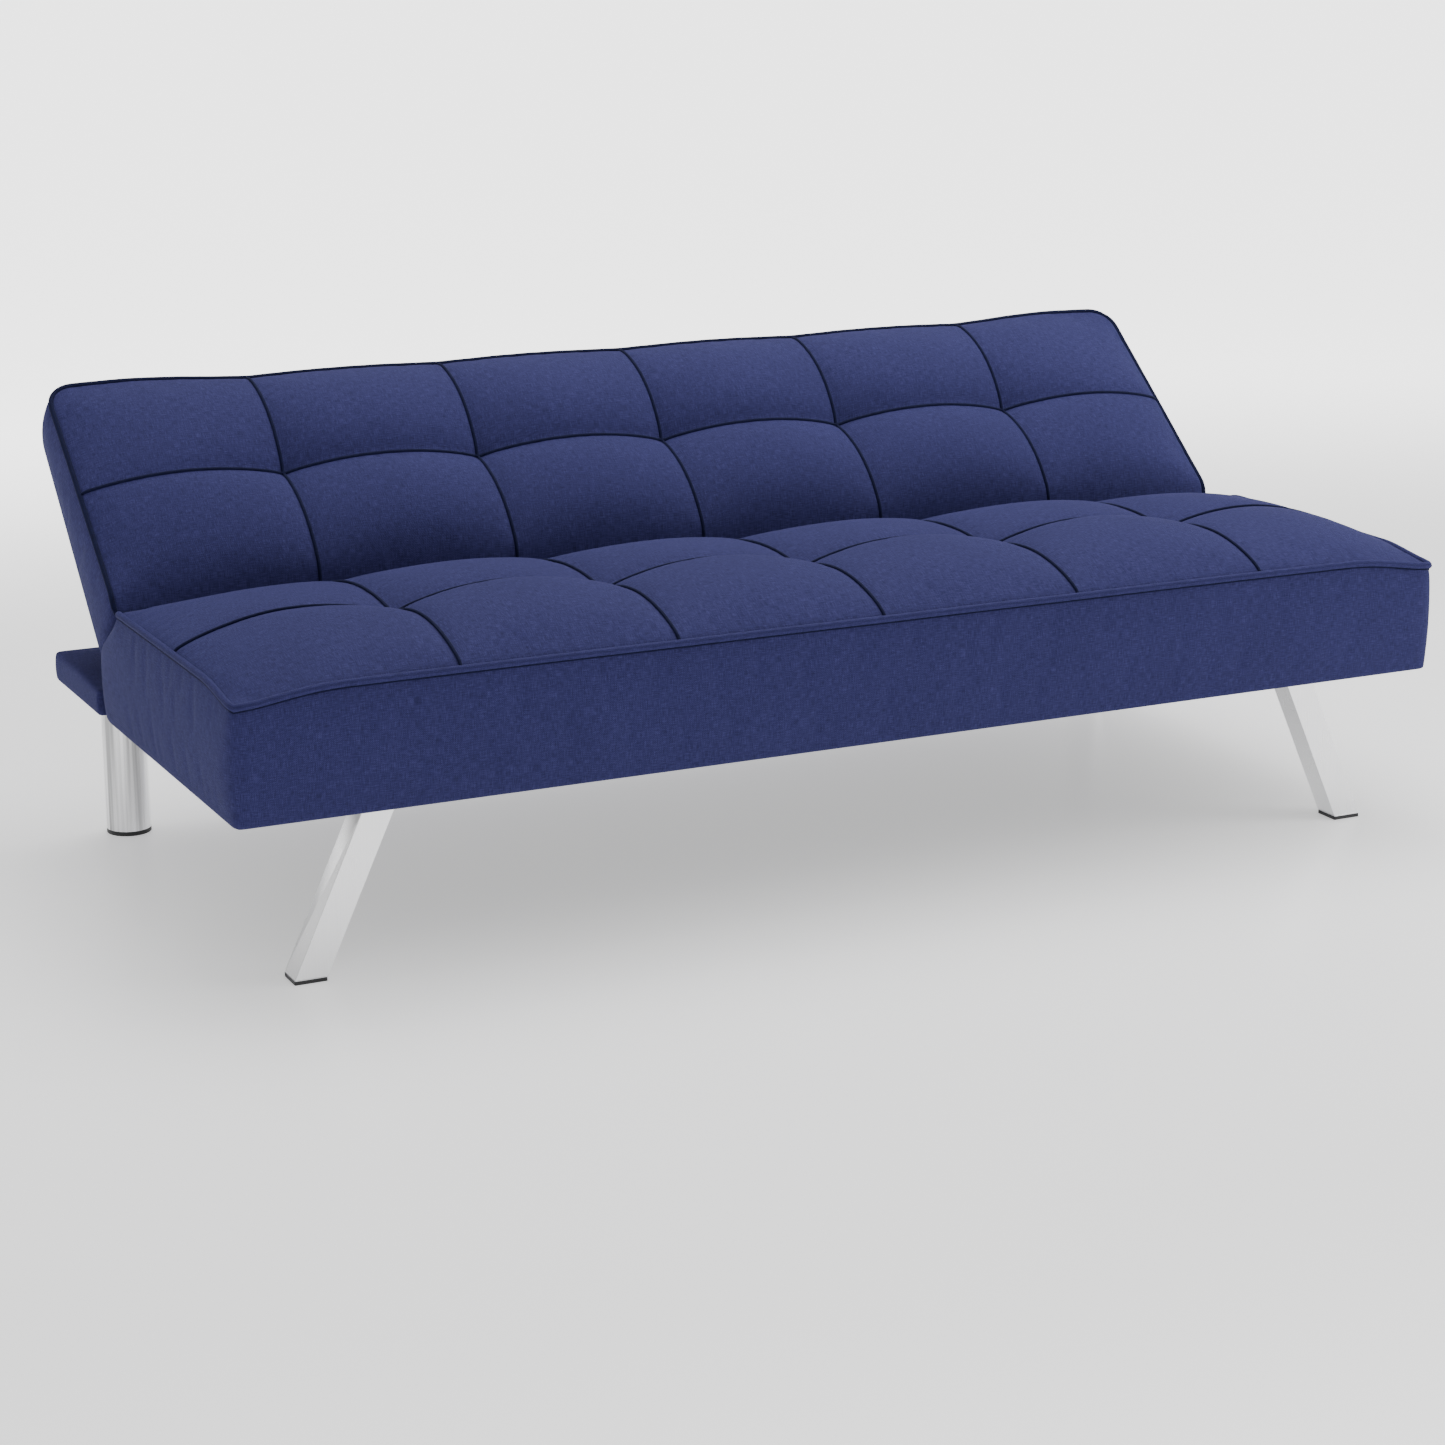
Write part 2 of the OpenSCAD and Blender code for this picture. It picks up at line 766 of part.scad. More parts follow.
seat_front_rail();
seat_rear_rail();
seat_end_rail(left);  // seat_end_rail_left
seat_end_rail(right);  // seat_end_rail_right
seat_centre_rail();
seat_spring(1);  // seat_spring_1
seat_spring(2);  // seat_spring_2
seat_spring(3);  // seat_spring_3
seat_spring(4);  // seat_spring_4
seat_spring(5);  // seat_spring_5
seat_spring(6);  // seat_spring_6
spring_clips();
seat_foam();
seat_cover();
seat_welt();
dust_cover();
platform_rear_rail();
platform_side_rail(left);  // platform_side_rail_left
platform_side_rail(right);  // platform_side_rail_right
platform_centre_rail();
platform_panel();
platform_cover();
front_leg(left);  // front_leg_left
front_leg(right);  // front_leg_right
front_leg_plate(left);  // front_leg_plate_left
front_leg_plate(right);  // front_leg_plate_right
front_foot(left);  // front_foot_left
front_foot(right);  // front_foot_right
rear_leg(left);  // rear_leg_left
rear_leg(right);  // rear_leg_right
rear_leg_plate(left);  // rear_leg_plate_left
rear_leg_plate(right);  // rear_leg_plate_right
rear_foot(left);  // rear_foot_left
rear_foot(right);  // rear_foot_right
leg_screws();
hinge_seat_plate(left);  // hinge_seat_plate_left
hinge_seat_plate(right);  // hinge_seat_plate_right
hinge_pins();
hinge_seat_bolts();
pawl(left);  // pawl_left
pawl(right);  // pawl_right
pawl_pins();
pawl_spring(left);  // pawl_spring_left
pawl_spring(right);  // pawl_spring_right
back_bottom_rail();
back_top_rail();
back_end_stile(left);  // back_end_stile_left
back_end_stile(right);  // back_end_stile_right
back_centre_stile();
back_strap(1);  // back_strap_1
back_strap(2);  // back_strap_2
back_strap(3);  // back_strap_3
back_strap(4);  // back_strap_4
back_foam();
back_cover();
back_welt();
hinge_arm(left);  // hinge_arm_left
hinge_arm(right);  // hinge_arm_right
hinge_arm_bolts();
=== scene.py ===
import json
import math

import bpy
import numpy as np
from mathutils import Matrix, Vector

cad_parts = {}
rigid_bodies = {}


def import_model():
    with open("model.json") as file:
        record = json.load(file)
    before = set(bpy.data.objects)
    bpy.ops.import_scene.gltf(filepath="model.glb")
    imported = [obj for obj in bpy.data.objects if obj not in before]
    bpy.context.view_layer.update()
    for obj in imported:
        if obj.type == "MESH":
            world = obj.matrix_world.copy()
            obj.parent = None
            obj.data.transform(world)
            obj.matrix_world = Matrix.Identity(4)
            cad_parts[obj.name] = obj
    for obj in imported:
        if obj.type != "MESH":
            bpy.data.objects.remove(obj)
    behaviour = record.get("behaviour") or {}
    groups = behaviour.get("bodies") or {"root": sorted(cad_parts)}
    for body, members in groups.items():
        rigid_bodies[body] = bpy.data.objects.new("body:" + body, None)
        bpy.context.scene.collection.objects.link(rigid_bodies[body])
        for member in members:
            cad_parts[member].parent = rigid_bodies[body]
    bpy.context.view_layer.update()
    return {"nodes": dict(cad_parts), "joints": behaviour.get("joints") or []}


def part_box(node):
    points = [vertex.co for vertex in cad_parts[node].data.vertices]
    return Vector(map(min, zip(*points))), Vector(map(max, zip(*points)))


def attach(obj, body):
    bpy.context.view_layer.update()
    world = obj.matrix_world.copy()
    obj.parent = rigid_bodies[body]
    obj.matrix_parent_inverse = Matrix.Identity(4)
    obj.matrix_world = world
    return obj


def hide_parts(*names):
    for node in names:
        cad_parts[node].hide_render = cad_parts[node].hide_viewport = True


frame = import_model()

MM = 0.001
joints = {joint["name"]: joint for joint in frame["joints"]}

# ---------------------------------------------------------------- sizes, all in metres

seat_low, seat_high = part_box("seat_cover")
welt_low, welt_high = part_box("seat_welt")
platform_low, platform_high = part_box("platform_cover")
PIVOT = Vector(joints["back_tilt"]["pos_m"])

SEAT_HALF = seat_high.x
SEAT_DEPTH = seat_high.y - seat_low.y
SEAT_FRONT = seat_low.y
UNDER = seat_low.z
WELT_Z = (welt_low.z + welt_high.z) / 2
COLUMNS = 6                    # pads from end to end
MESH_STEP = 9 * MM             # side of the squares that the cushions are meshed with

LEAN = math.radians(51)        # lean of the back in the lounge position
HINGE_DROP = WELT_Z - PIVOT.z  # hinge pin to the back's front plane
HINGE_REACH = 33 * MM          # hinge pin to the back's lower edge
BACK_HALF = SEAT_HALF - 11 * MM

# ---------------------------------------------------------------- shader maths


class Wire:
    """A socket in a material, so that shader maths is written as plain expressions."""

    def __init__(self, shop, socket):
        self.shop = shop
        self.socket = socket

    def _math(self, operation, *values):
        return self.shop.node("ShaderNodeMath", {"operation": operation}, dict(enumerate(values)))

    def __add__(self, other):
        return self._math("ADD", self, other)

    def __sub__(self, other):
        return self._math("SUBTRACT", self, other)

    def __rsub__(self, other):
        return self._math("SUBTRACT", other, self)

    def __mul__(self, other):
        return self._math("MULTIPLY", self, other)

    def __truediv__(self, other):
        return self._math("DIVIDE", self, other)

    def __pow__(self, other):
        return self._math("POWER", self, other)

    __radd__ = __add__
    __rmul__ = __mul__

    def sine(self):
        return self._math("SINE", self)

    def size(self):
        return self._math("ABSOLUTE", self)

    def most(self, other):
        return self._math("MAXIMUM", self, other)

    def least(self, other):
        return self._math("MINIMUM", self, other)


class Shop:
    """One material, or the sky, and the nodes that make it."""

    def __init__(self, owner):
        self.owner = owner
        owner.use_nodes = True
        self.tree = owner.node_tree
        self.tree.nodes.clear()

    @classmethod
    def material(cls, name):
        return cls(bpy.data.materials.new(name))

    def node(self, kind, settings=None, values=None, out=0):
        made = self.tree.nodes.new(kind)
        for key, value in (settings or {}).items():
            if key == "stops":
                self._stops(made.color_ramp, value)
            else:
                setattr(made, key, value)
        for key, value in (values or {}).items():
            socket = made.inputs[key]
            if isinstance(value, Wire):
                self.tree.links.new(value.socket, socket)
            else:
                socket.default_value = value
        return Wire(self, made.outputs[out]) if made.outputs else None

    def _stops(self, ramp, stops):
        while len(ramp.elements) < len(stops):
            ramp.elements.new(0.5)
        for element, (place, colour) in zip(ramp.elements, stops):
            element.position = place
            element.color = (*colour, 1)

    def place(self):
        return self.node("ShaderNodeTexCoord", out=3)

    def cloth_place(self):
        return self.node("ShaderNodeUVMap", {"uv_map": "cloth"})

    def split(self, vector):
        """The three numbers of a vector."""
        parts = self.tree.nodes.new("ShaderNodeSeparateXYZ")
        self.tree.links.new(vector.socket, parts.inputs[0])
        return [Wire(self, socket) for socket in parts.outputs]

    def scaled(self, vector, scale):
        return self.node("ShaderNodeVectorMath", {"operation": "MULTIPLY"}, {0: vector, 1: scale})

    def noise(self, vector, scale, detail=3.0, roughness=0.55):
        values = {"Vector": vector, "Scale": scale, "Detail": detail, "Roughness": roughness}
        return self.node("ShaderNodeTexNoise", {}, values)

    def between(self, factor, low, high):
        """A colour between two colours."""
        settings = {"data_type": "RGBA"}
        return self.node("ShaderNodeMix", settings, {0: factor, 6: low, 7: high}, out=2)

    def ramp(self, factor, stops):
        return self.node("ShaderNodeValToRGB", {"stops": stops}, {0: factor})

    def bump(self, height, distance, strength=1.0, normal=None):
        values = {"Height": height, "Distance": distance, "Strength": strength}
        if normal is not None:
            values["Normal"] = normal
        return self.node("ShaderNodeBump", {}, values)

    def finish(self, **inputs):
        """The surface itself. Spaces in socket names are written as underscores."""
        values = {key.replace("_", " "): value for key, value in inputs.items()}
        surface = self.node("ShaderNodeBsdfPrincipled", {}, values)
        self.node("ShaderNodeOutputMaterial", {}, {"Surface": surface})
        return self.owner


def colour(red, green, blue):
    return (red, green, blue, 1.0)


# ---------------------------------------------------------------- materials


def woven(name, dark, mid, pale, thread, depth, sheen):
    """Plain-weave cloth. Its own cloth map runs in metres along the weft and the warp."""
    slubs_along = 90.0         # changes of tone per metre along a yarn
    slubs_across = 1100.0      # and from yarn to yarn
    shop = Shop.material(name)
    spot = shop.cloth_place()
    across, along, _ = shop.split(spot)

    wander = (shop.noise(spot, 60.0, 2.0) - 0.5) * (0.6 * thread)
    weft = ((across + wander) * (math.pi / thread)).sine()
    warp = ((along + wander) * (math.pi / thread)).sine()
    over = weft * warp * 0.5 + 0.5
    weft_yarn = shop.noise(shop.scaled(spot, (slubs_along, slubs_across, 1.0)), 1.0, 2.0)
    warp_yarn = shop.noise(shop.scaled(spot, (slubs_across, slubs_along, 1.0)), 1.0, 2.0)
    yarn = weft_yarn * over + warp_yarn * (1 - over)
    cloud = shop.noise(spot, 9.0, 3.0)
    heather = ((yarn - 0.5) * 1.5 + (cloud - 0.5) * 0.12 + 0.5).least(1.0).most(0.0)
    tone = shop.ramp(heather, [(0.12, dark), (0.5, mid), (0.9, pale)])

    rough = 0.8 + over * 0.12
    pucker = shop.noise(spot, 26.0, 3.0)
    soft = shop.bump(pucker, 1.2 * MM, 0.18)
    fine = shop.bump(over + yarn * 0.6, depth, 0.8, soft)
    return shop.finish(Base_Color=tone, Roughness=rough, Normal=fine, Sheen_Weight=sheen,
                       Sheen_Roughness=0.45, Sheen_Tint=colour(0.25, 0.32, 0.85),
                       Specular_IOR_Level=0.11)


def brushed_steel(name, tint, rough, run, painted_reflection=0.0):
    """Steel with fine polishing lines. run squeezes the lines along each axis, and the last argument says
    how much darker the broad upright bands are: painted reflections of dark surroundings, put in the
    steel's colour."""
    shop = Shop.material(name)
    spot = shop.place()
    lines = shop.noise(shop.scaled(spot, run), 1.0, 4.0, 0.7)
    smear = shop.noise(spot, 14.0, 3.0)
    bright = tuple(min(1.0, part * 1.06) for part in tint)
    dull = tuple(part * 0.9 for part in tint)
    face = shop.between(lines, colour(*dull), colour(*bright))
    # Broad dark upright bands painted into the colour are painted reflections, not marks left by drawing
    # the tube
    if painted_reflection > 0:
        bands = shop.noise(shop.scaled(spot, (75.0, 75.0, 1.2)), 1.0, 2.0, 0.5)
        clear_of_painted_reflection = shop.ramp(bands, [(0.40, (0, 0, 0)), (0.56, (1, 1, 1))])
        drawn = tuple(part * (1 - painted_reflection) for part in tint)
        face = shop.between(clear_of_painted_reflection, colour(*drawn), face)
    gloss = rough + (lines - 0.5) * 0.16 + (smear - 0.5) * 0.1
    grain = shop.bump(lines, 0.04 * MM, 0.35)
    return shop.finish(Base_Color=face, Metallic=1.0, Roughness=gloss, Normal=grain)


def moulded_plastic(name, tint):
    shop = Shop.material(name)
    spot = shop.place()
    grain = shop.noise(spot, 900.0, 2.0)
    scuff = shop.noise(spot, 45.0, 4.0)
    pale = tuple(part * 2.2 + 0.004 for part in tint)
    face = shop.between(scuff ** 3.0, colour(*tint), colour(*pale))
    return shop.finish(Base_Color=face, Roughness=0.42 + scuff * 0.2,
                       Normal=shop.bump(grain, 0.08 * MM, 0.5))


def pine(name, along):
    """Planed pine. along says how the grain is stretched on each axis."""
    shop = Shop.material(name)
    spot = shop.scaled(shop.place(), along)
    rings = shop.noise(spot, 7.0, 5.0, 0.6)
    fibre = shop.noise(shop.scaled(spot, (9.0, 9.0, 9.0)), 9.0, 3.0)
    tone = shop.ramp(rings * 0.8 + fibre * 0.2, [
        (0.3, (0.40, 0.24, 0.11)), (0.5, (0.60, 0.41, 0.22)), (0.68, (0.72, 0.53, 0.31))])
    return shop.finish(Base_Color=tone, Roughness=0.6 + fibre * 0.2,
                       Normal=shop.bump(rings + fibre * 0.4, 0.3 * MM, 0.5))


def pressed_board(name):
    shop = Shop.material(name)
    spot = shop.place()
    chips = shop.noise(spot, 240.0, 4.0)
    tone = shop.ramp(chips, [(0.35, (0.17, 0.09, 0.04)), (0.65, (0.33, 0.19, 0.10))])
    return shop.finish(Base_Color=tone, Roughness=0.55 + chips * 0.2,
                       Normal=shop.bump(chips, 0.2 * MM, 0.4))


def felted_cloth(name, tint):
    """Thin non-woven cloth, as under a seat."""
    shop = Shop.material(name)
    spot = shop.place()
    fibres = shop.noise(spot, 700.0, 4.0, 0.7)
    dimples = shop.node("ShaderNodeTexVoronoi", {}, {"Vector": spot, "Scale": 420.0})
    pale = tuple(part * 2.4 + 0.01 for part in tint)
    face = shop.between(fibres, colour(*tint), colour(*pale))
    return shop.finish(Base_Color=face, Roughness=0.85 + fibres * 0.1,
                       Normal=shop.bump(fibres + dimples * 0.8, 0.25 * MM, 0.6))


def webbing_cloth(name, tint):
    """Elastic strap with ribs along it and rows of yarn across it."""
    shop = Shop.material(name)
    rib_pitch, row_pitch = 2.4 * MM, 3.2 * MM
    across, _, up_strap = shop.split(shop.place())
    ribs = (across * (math.pi / rib_pitch)).sine().size()
    rows = (up_strap * (math.pi / row_pitch)).sine().size()
    lay = ribs * 0.6 + rows * 0.4
    pale = tuple(part * 2.5 + 0.01 for part in tint)
    face = shop.between(lay, colour(*tint), colour(*pale))
    return shop.finish(Base_Color=face, Roughness=0.9 - lay * 0.1, Normal=shop.bump(lay, 0.4 * MM, 0.6))


def studio_floor(name):
    """A pale floor that glows with painted light, its glow painted dimmer around the sofa as a soft painted
    shadow.
    """
    painted_shadow_half_x, painted_shadow_half_y = 1.7, 1.0
    shop = Shop.material(name)
    spot = shop.place()
    smear = shop.noise(spot, 2.0, 3.0)
    across, along, _ = shop.split(spot)
    # The emission is painted light: low close to the sofa as a painted shadow, full white further out
    apart = ((across / painted_shadow_half_x) ** 2.0 + (along / painted_shadow_half_y) ** 2.0) ** 0.5
    clear = ((apart - 1.3) / 2.2).most(0.0).least(1.0)
    eased = clear * clear * (clear * -2.0 + 3.0)
    glow = shop.between(eased, colour(0.2, 0.2, 0.2), colour(1, 1, 1))
    return shop.finish(Base_Color=colour(0.86, 0.86, 0.865), Roughness=0.26 + smear * 0.06,
                       Specular_IOR_Level=0.35, Emission_Color=glow, Emission_Strength=2.6)


NAVY_DARK = (0.009, 0.009, 0.035)
NAVY = (0.0235, 0.0235, 0.087)
NAVY_PALE = (0.051, 0.051, 0.162)

PIPING_DARK = (0.0015, 0.002, 0.010)
PIPING_NAVY = (0.004, 0.005, 0.026)
PIPING_PALE = (0.010, 0.013, 0.05)
STEEL = (0.90, 0.90, 0.91)
DOWN_THE_TUBE = (420.0, 420.0, 9.0)

navy_linen = woven("navy_linen", NAVY_DARK, NAVY, NAVY_PALE, thread=1.05 * MM, depth=0.32 * MM, sheen=0.06)
dark_piping = woven("dark_piping", PIPING_DARK, PIPING_NAVY, PIPING_PALE, thread=0.7 * MM, depth=0.2 * MM,
                    sheen=0.05)
satin_steel = brushed_steel("satin_steel", STEEL, 0.30, DOWN_THE_TUBE)
bright_steel = brushed_steel("bright_steel", STEEL, 0.14, DOWN_THE_TUBE, painted_reflection=0.62)
zinc_steel = brushed_steel("zinc_steel", (0.55, 0.56, 0.57), 0.42, (60.0, 60.0, 60.0))
spring_steel = brushed_steel("spring_steel", (0.22, 0.22, 0.23), 0.38, (200.0, 200.0, 200.0))
black_plastic = moulded_plastic("black_plastic", (0.010, 0.010, 0.011))
long_pine = pine("long_pine", (0.5, 9.0, 9.0))
deep_pine = pine("deep_pine", (9.0, 0.5, 9.0))
hardboard = pressed_board("hardboard")
dust_cloth = felted_cloth("dust_cloth", (0.012, 0.012, 0.013))
elastic_webbing = webbing_cloth("elastic_webbing", (0.025, 0.025, 0.028))
floor_finish = studio_floor("studio_floor")

# ---------------------------------------------------------------- quilted cushions


def smooth(t):
    """Eases from 0 to 1 as t goes from 0 to 1."""
    t = np.clip(t, 0.0, 1.0)
    return t * t * (3 - 2 * t)


def hump(t):
    """Rises from 0 at either end of a seam to 1 near its middle, steeply at first."""
    return np.sin(math.pi * np.clip(t, 0.0, 1.0)) ** 0.75


class Quilt:
    """Heights of a panel sewn into pads: seams cross at deep tufts and rise between them.

    cross_rise has one rise for each row of pads, from the first row to the last."""

    def __init__(self, xs, ys, tuft, cross_rise, long_rise, pad_rise):
        self.xs = np.array(xs)
        self.ys = np.array(ys)
        self.tuft = tuft
        self.cross_rise = np.array(cross_rise)
        self.long_rise = long_rise
        self.pad_rise = pad_rise

    def knot(self, i, j):
        """Height where seam i crosses seam j: a tuft inside the panel, nothing at its rim."""
        inside = (i > 0) & (i < len(self.xs) - 1) & (j > 0) & (j < len(self.ys) - 1)
        return np.where(inside, self.tuft, 0.0)

    def cross_seam(self, i, j, t):
        """Height along seam i within row j."""
        inner = (i > 0) & (i < len(self.xs) - 1)
        level = self.knot(i, j) * (1 - t) + self.knot(i, j + 1) * t
        return level + np.where(inner, self.cross_rise[j], 0.0) * hump(t)

    def long_seam(self, i, j, t):
        """Height along seam j within column i."""
        inner = (j > 0) & (j < len(self.ys) - 1)
        level = self.knot(i, j) * (1 - t) + self.knot(i + 1, j) * t
        return level + np.where(inner, self.long_rise, 0.0) * hump(t)

    def height(self, x, y):
        i = np.clip(np.searchsorted(self.xs, x, side="right") - 1, 0, len(self.xs) - 2)
        j = np.clip(np.searchsorted(self.ys, y, side="right") - 1, 0, len(self.ys) - 2)
        u = np.clip((x - self.xs[i]) / (self.xs[i + 1] - self.xs[i]), 0, 1)
        v = np.clip((y - self.ys[j]) / (self.ys[j + 1] - self.ys[j]), 0, 1)
        ends = (1 - u) * self.cross_seam(i, j, v) + u * self.cross_seam(i + 1, j, v)
        sides = (1 - v) * self.long_seam(i, j, u) + v * self.long_seam(i, j + 1, u)
        corners = ((1 - u) * (1 - v) * self.knot(i, j) + u * (1 - v) * self.knot(i + 1, j)
                   + (1 - u) * v * self.knot(i, j + 1) + u * v * self.knot(i + 1, j + 1))
        crown = (16 * u * (1 - u) * v * (1 - v)) ** 0.6
        return ends + sides - corners + self.pad_rise * crown


def spread(marks, step):
    """Places from the first mark to the last, evenly spaced between marks, each mark kept."""
    places = [marks[0]]
    for a, b in zip(marks, marks[1:]):
        count = max(2, round((b - a) / step))
        places += [a + (b - a) * k / count for k in range(1, count + 1)]
    return np.array(places)


def round_corner(x, y, half_x, low_y, high_y, radius_low, radius_high):
    """Moves the points of a rectangle's corners in so that the corners are round."""
    x, y = x.copy(), y.copy()
    for low, radius in ((True, radius_low), (False, radius_high)):
        if radius <= 0:
            continue
        a = (np.abs(x) - (half_x - radius)) / radius
        b = ((low_y + radius) - y) / radius if low else (y - (high_y - radius)) / radius
        near = (a > 0) & (b > 0)
        a0, b0 = np.clip(a, 0, 1), np.clip(b, 0, 1)
        ax = a0 * np.sqrt(1 - b0 ** 2 / 2)
        by = b0 * np.sqrt(1 - a0 ** 2 / 2)
        new_x = np.sign(x) * (half_x - radius + ax * radius)
        new_y = low_y + radius - by * radius if low else high_y - radius + by * radius
        x = np.where(near, new_x, x)
        y = np.where(near, new_y, y)
    return x, y


class Cushion:
    """A closed six-sided skin of even squares, numbered by column i, row j and layer k."""

    SIDE_MAP = 3               # metres up the cloth map to the side bands
    END_MAP = 5                # and along it to the end bands

    def __init__(self, xs, ys, layers):
        self.xs, self.ys, self.layers = xs, ys, layers
        nx, ny, nz = len(xs) - 1, len(ys) - 1, layers
        self.index = -np.ones((nx + 1, ny + 1, nz + 1), int)
        keys = [(i, j, k) for i in range(nx + 1) for j in range(ny + 1) for k in range(nz + 1)
                if i in (0, nx) or j in (0, ny) or k in (0, nz)]
        self.keys = np.array(keys)
        for number, key in enumerate(keys):
            self.index[key] = number
        self.faces, self.maps = self._faces(nx, ny, nz)

    def _faces(self, nx, ny, nz):
        """Quads of the six sides, each with the cloth place of its corners."""
        index, faces, maps = self.index, [], []
        xs, ys = self.xs, self.ys
        zs = np.arange(nz + 1) * MESH_STEP

        def side(corners, places, flip):
            order = [0, 3, 2, 1] if flip else [0, 1, 2, 3]
            faces.append([corners[n] for n in order])
            maps.append([places[n] for n in order])

        for k, flip in ((0, True), (nz, False)):
            for i in range(nx):
                for j in range(ny):
                    ring = [(i, j), (i + 1, j), (i + 1, j + 1), (i, j + 1)]
                    places = [(xs[a], ys[b]) for a, b in ring]
                    side([index[a, b, k] for a, b in ring], places, flip)
        for j, flip in ((0, False), (ny, True)):
            for i in range(nx):
                for k in range(nz):
                    ring = [(i, k), (i + 1, k), (i + 1, k + 1), (i, k + 1)]
                    places = [(xs[a], self.SIDE_MAP + zs[b]) for a, b in ring]
                    side([index[a, j, b] for a, b in ring], places, flip)
        for i, flip in ((0, True), (nx, False)):
            for j in range(ny):
                for k in range(nz):
                    ring = [(j, k), (j + 1, k), (j + 1, k + 1), (j, k + 1)]
                    places = [(ys[a] + self.END_MAP, self.SIDE_MAP + zs[b]) for a, b in ring]
                    side([index[i, a, b] for a, b in ring], places, flip)
        return faces, maps

    def build(self, name, points, material):
        mesh = bpy.data.meshes.new(name)
        mesh.from_pydata([tuple(p) for p in points], [], self.faces)
        cloth = mesh.uv_layers.new(name="cloth")
        cloth.data.foreach_set("uv", np.array(self.maps, np.float32).ravel())
        mesh.materials.append(material)
        mesh.shade_smooth()
        made = bpy.data.objects.new(name, mesh)
        bpy.context.scene.collection.objects.link(made)
        return made


FILL_PRESSURE = 4.0
FILL_FRAMES = 20


def points_of(made):
    places = np.zeros(len(made.data.vertices) * 3)
    made.data.vertices.foreach_get("co", places)
    return places.reshape(-1, 3)


def puff_up(made, held, limit):
    """Fills the cushion like a bag: cloth under pressure, sewn down where held is 1.

    limit is the most that each point may move."""
    scene = bpy.context.scene
    before = points_of(made)
    group = made.vertex_groups.new(name="sewn")
    group.add(np.nonzero(held)[0].tolist(), 1.0, "REPLACE")
    cloth = made.modifiers.new("fill", "CLOTH")
    set_up = cloth.settings
    set_up.vertex_group_mass = group.name
    set_up.pin_stiffness = 1.0
    set_up.mass = 0.3
    set_up.quality = 5
    set_up.tension_stiffness = 12
    set_up.compression_stiffness = 12
    set_up.shear_stiffness = 6
    set_up.bending_stiffness = 1.5
    set_up.use_pressure = True
    set_up.uniform_pressure_force = FILL_PRESSURE
    set_up.shrink_min = -0.005
    set_up.effector_weights.gravity = 0
    cloth.collision_settings.use_collision = False
    for step in range(1, FILL_FRAMES + 1):
        scene.frame_set(step)
    settled = made.evaluated_get(bpy.context.evaluated_depsgraph_get())
    after = np.zeros(len(settled.data.vertices) * 3)
    settled.data.vertices.foreach_get("co", after)
    move = after.reshape(-1, 3) - before
    length = np.linalg.norm(move, axis=1, keepdims=True)
    capped = move * np.minimum(1.0, limit[:, None] / np.maximum(length, 1e-9))
    made.modifiers.remove(cloth)
    made.vertex_groups.clear()
    made.data.vertices.foreach_set("co", (before + capped).ravel())
    made.data.update()
    scene.frame_set(1)


def finer(made):
    """One round of subdivision, kept in the mesh."""
    step = made.modifiers.new("finer", "SUBSURF")
    step.levels = 1
    step.render_levels = 1
    plain = bpy.data.meshes.new_from_object(made.evaluated_get(bpy.context.evaluated_depsgraph_get()))
    made.modifiers.remove(step)
    old = made.data
    made.data = plain
    bpy.data.meshes.remove(old)
    made.data.name = made.name


def nearest_line(values, lines):
    """Distance from each value to the closest of some lines."""
    return np.min(np.abs(np.asarray(values)[:, None] - np.asarray(lines)[None, :]), axis=1)


def sewn_rows(cushion, seams_x, seams_y):
    """1 where the cover is sewn down or wraps the frame, 0 where it is free to fill."""
    keys = cushion.keys
    x = cushion.xs[keys[:, 0]]
    y = cushion.ys[keys[:, 1]]
    top = keys[:, 2] == cushion.layers
    bottom = keys[:, 2] <= 1
    on_seam = (nearest_line(x, seams_x) < 1e-6) | (nearest_line(y, seams_y) < 1e-6)
    return np.where(bottom | (top & on_seam), 1.0, 0.0)


def swell_limits(cushion, on_top, on_sides):
    """The most each point may move: the pads rise more than the side bands."""
    return np.where(cushion.keys[:, 2] == cushion.layers, on_top, on_sides)


def top_line(cushion, made, along_x, place):
    """The points of a seam across the top, along X or along the rows."""
    spots = points_of(made)
    last = cushion.layers
    if along_x:
        j = int(np.argmin(np.abs(cushion.ys - place)))
        numbers = [cushion.index[i, j, last] for i in range(len(cushion.xs))]
    else:
        i = int(np.argmin(np.abs(cushion.xs - place)))
        numbers = [cushion.index[i, j, last] for j in range(len(cushion.ys))]
    return [spots[n] for n in numbers]


def seam_paths(cushion, made, seams_x, long_seam):
    """Each cross seam, and then the long seam between the two rows of pads."""
    paths = [top_line(cushion, made, False, x) for x in seams_x[1:-1]]
    paths.append(top_line(cushion, made, True, long_seam))
    return paths


def filled_cushion(name, seams_x, seams_y, layers, shape, on_top, on_sides):
    """A quilted cushion in a shape, filled and smoothed, with the skin that numbers its points."""
    cushion = Cushion(spread(seams_x, MESH_STEP), spread(seams_y, MESH_STEP), layers)
    made = cushion.build(name, shape(cushion), navy_linen)
    puff_up(made, sewn_rows(cushion, seams_x, seams_y), swell_limits(cushion, on_top, on_sides))
    finer(made)
    return cushion, made


def lifted(path, amount):
    """The path moved by an amount, to lie on the cloth and not in it."""
    return [Vector(p) + Vector(amount) for p in path]


# ---------------------------------------------------------------- geometry nodes


